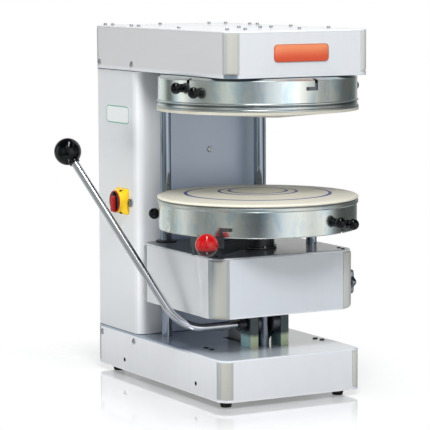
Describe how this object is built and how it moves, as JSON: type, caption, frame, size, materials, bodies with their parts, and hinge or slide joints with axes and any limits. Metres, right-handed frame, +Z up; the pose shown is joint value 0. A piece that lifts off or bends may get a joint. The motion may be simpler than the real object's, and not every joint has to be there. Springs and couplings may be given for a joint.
{
  "type": "cold dough press",
  "caption": "Countertop dough press with two removable round pans, a carriage lifted by a bent hand lever and a small motor head.",
  "frame": {"origin": "floor point under the middle of the whole outline", "axes": "+Z up, -Y towards the operator at the machine's front, +X to the operator's right; the hand lever is on the -X side"},
  "size_m": [0.6142, 0.7232, 0.821],
  "materials": {
    "white_paint": "gloss",
    "post_paint": "gloss",
    "column_paint": "gloss",
    "rubber": "matt",
    "chrome": "polished",
    "zinc": "zinc plated",
    "steel": "brushed",
    "band_steel": "bright",
    "plate_coat": "satin",
    "black_knob": "gloss",
    "black_paint": "gloss",
    "red_knob": "gloss",
    "switch_red": "gloss",
    "yellow": "satin",
    "orange": "gloss",
    "label": "satin",
    "bronze": "turned",
    "motor_grey": "satin",
    "belt": "matt"
  },
  "bodies": {
    "frame": {"base_plate": "white_paint", "base_panels": "white_paint", "base_corner_posts": "post_paint", "base_top_cover": "white_paint", "rubber_feet": "rubber", "lever_bracket": "zinc", "lever_bushes": "bronze", "rest_post": "chrome", "rest_buffer": "rubber", "guide_rods": "chrome", "column_cover": "column_paint", "rear_cover": "white_paint", "column_frame": "steel", "cable_gland": "black_knob", "head_plate": "white_paint", "head_panels": "white_paint", "head_corner_posts": "post_paint", "head_top_cover": "white_paint", "top_cover_screws": "steel", "panel_screws": "steel", "front_badge": "orange", "side_label": "label", "switch_plate": "yellow", "switch_body": "black_knob", "spindle_housing": "steel", "spindle_bearings": "steel", "hold_pins": "steel", "gear_motor": "motor_grey", "drive_belt": "belt"},
    "motor_wheel": {"motor_pulley": "steel"},
    "spindle_set": {"spindle": "steel", "spindle_pulley": "steel"},
    "upper_holder": {"upper_carrier": "steel", "upper_lock_knob": "black_knob"},
    "upper_pan": {"upper_band": "band_steel", "upper_handles": "black_knob", "upper_plate": "plate_coat"},
    "carriage": {"carriage_plate": "steel", "carriage_panels": "white_paint", "carriage_corner_posts": "post_paint", "carriage_top_cover": "white_paint", "rod_bearings": "bronze", "table_posts": "chrome", "lift_yoke": "steel"},
    "thickness_dial": {"thickness_ring": "black_paint", "thickness_clip": "zinc", "thickness_ball": "red_knob"},
    "table": {"lower_carrier": "steel", "lower_lock_knob": "black_knob"},
    "lower_pan": {"lower_band": "band_steel", "lower_handles": "black_knob", "lower_plate": "plate_coat"},
    "hand_lever": {"lever_rod": "chrome", "lever_ball": "black_knob", "lever_hub": "black_paint", "lift_crank": "steel", "crank_pin": "steel"},
    "roller": {"lift_roller": "steel"},
    "switch": {"switch_knob": "switch_red"},
    "clamp": {"clamp_knob": "chrome"}
  },
  "joints": [
    {"name": "carriage_lift", "type": "slide", "parent": "frame", "child": "carriage", "axis": [0, 0, 1], "range_m": [0, 0.152]},
    {"name": "lever_swing", "type": "hinge", "parent": "frame", "child": "hand_lever", "pos_m": [0.02894, -0.14141, 0.159], "axis": [1, 0, 0], "range_deg": [0, 88]},
    {"name": "roller_turn", "type": "hinge", "parent": "hand_lever", "child": "roller", "pos_m": [0.06194, -0.06228, 0.08259], "axis": [1, 0, 0], "continuous": true},
    {"name": "motor_turn", "type": "hinge", "parent": "frame", "child": "motor_wheel", "pos_m": [0.05894, 0.24959, 0.75], "axis": [0, 0, 1], "continuous": true},
    {"name": "spindle_turn", "type": "hinge", "parent": "frame", "child": "spindle_set", "pos_m": [0.05894, -0.12741, 0.75], "axis": [0, 0, 1], "continuous": true},
    {"name": "holder_orbit", "type": "hinge", "parent": "spindle_set", "child": "upper_holder", "pos_m": [0.05894, -0.12541, 0.69], "axis": [0, 0, 1], "continuous": true},
    {"name": "upper_pan_twist", "type": "hinge", "parent": "upper_holder", "child": "upper_pan", "pos_m": [0.05894, -0.12541, 0.68], "axis": [0, 0, 1], "range_deg": [-5.5, 0]},
    {"name": "table_rise", "type": "slide", "parent": "carriage", "child": "table", "axis": [0, 0, 1], "range_m": [0, 0.004]},
    {"name": "thickness_turn", "type": "hinge", "parent": "carriage", "child": "thickness_dial", "pos_m": [0.05894, -0.12541, 0.345], "axis": [0, 0, 1], "range_deg": [0, 40]},
    {"name": "lower_pan_twist", "type": "hinge", "parent": "table", "child": "lower_pan", "pos_m": [0.05894, -0.12541, 0.4], "axis": [0, 0, 1], "range_deg": [0, 5.5]},
    {"name": "switch_turn", "type": "hinge", "parent": "frame", "child": "switch", "pos_m": [-0.13806, 0.19659, 0.411], "axis": [1, 0, 0], "range_deg": [0, 90]},
    {"name": "clamp_turn", "type": "hinge", "parent": "carriage", "child": "clamp", "pos_m": [0.24494, -0.20541, 0.247], "axis": [1, 0, 0], "range_deg": [0, 180]}
  ],
  "couplings": [
    {"joint": "lever_swing", "follows": "carriage_lift", "rad_per_m": 10.052},
    {"joint": "holder_orbit", "follows": "spindle_turn", "ratio": -1},
    {"joint": "motor_turn", "follows": "spindle_turn", "ratio": 2},
    {"joint": "thickness_turn", "follows": "table_rise", "rad_per_m": 174.53}
  ]
}
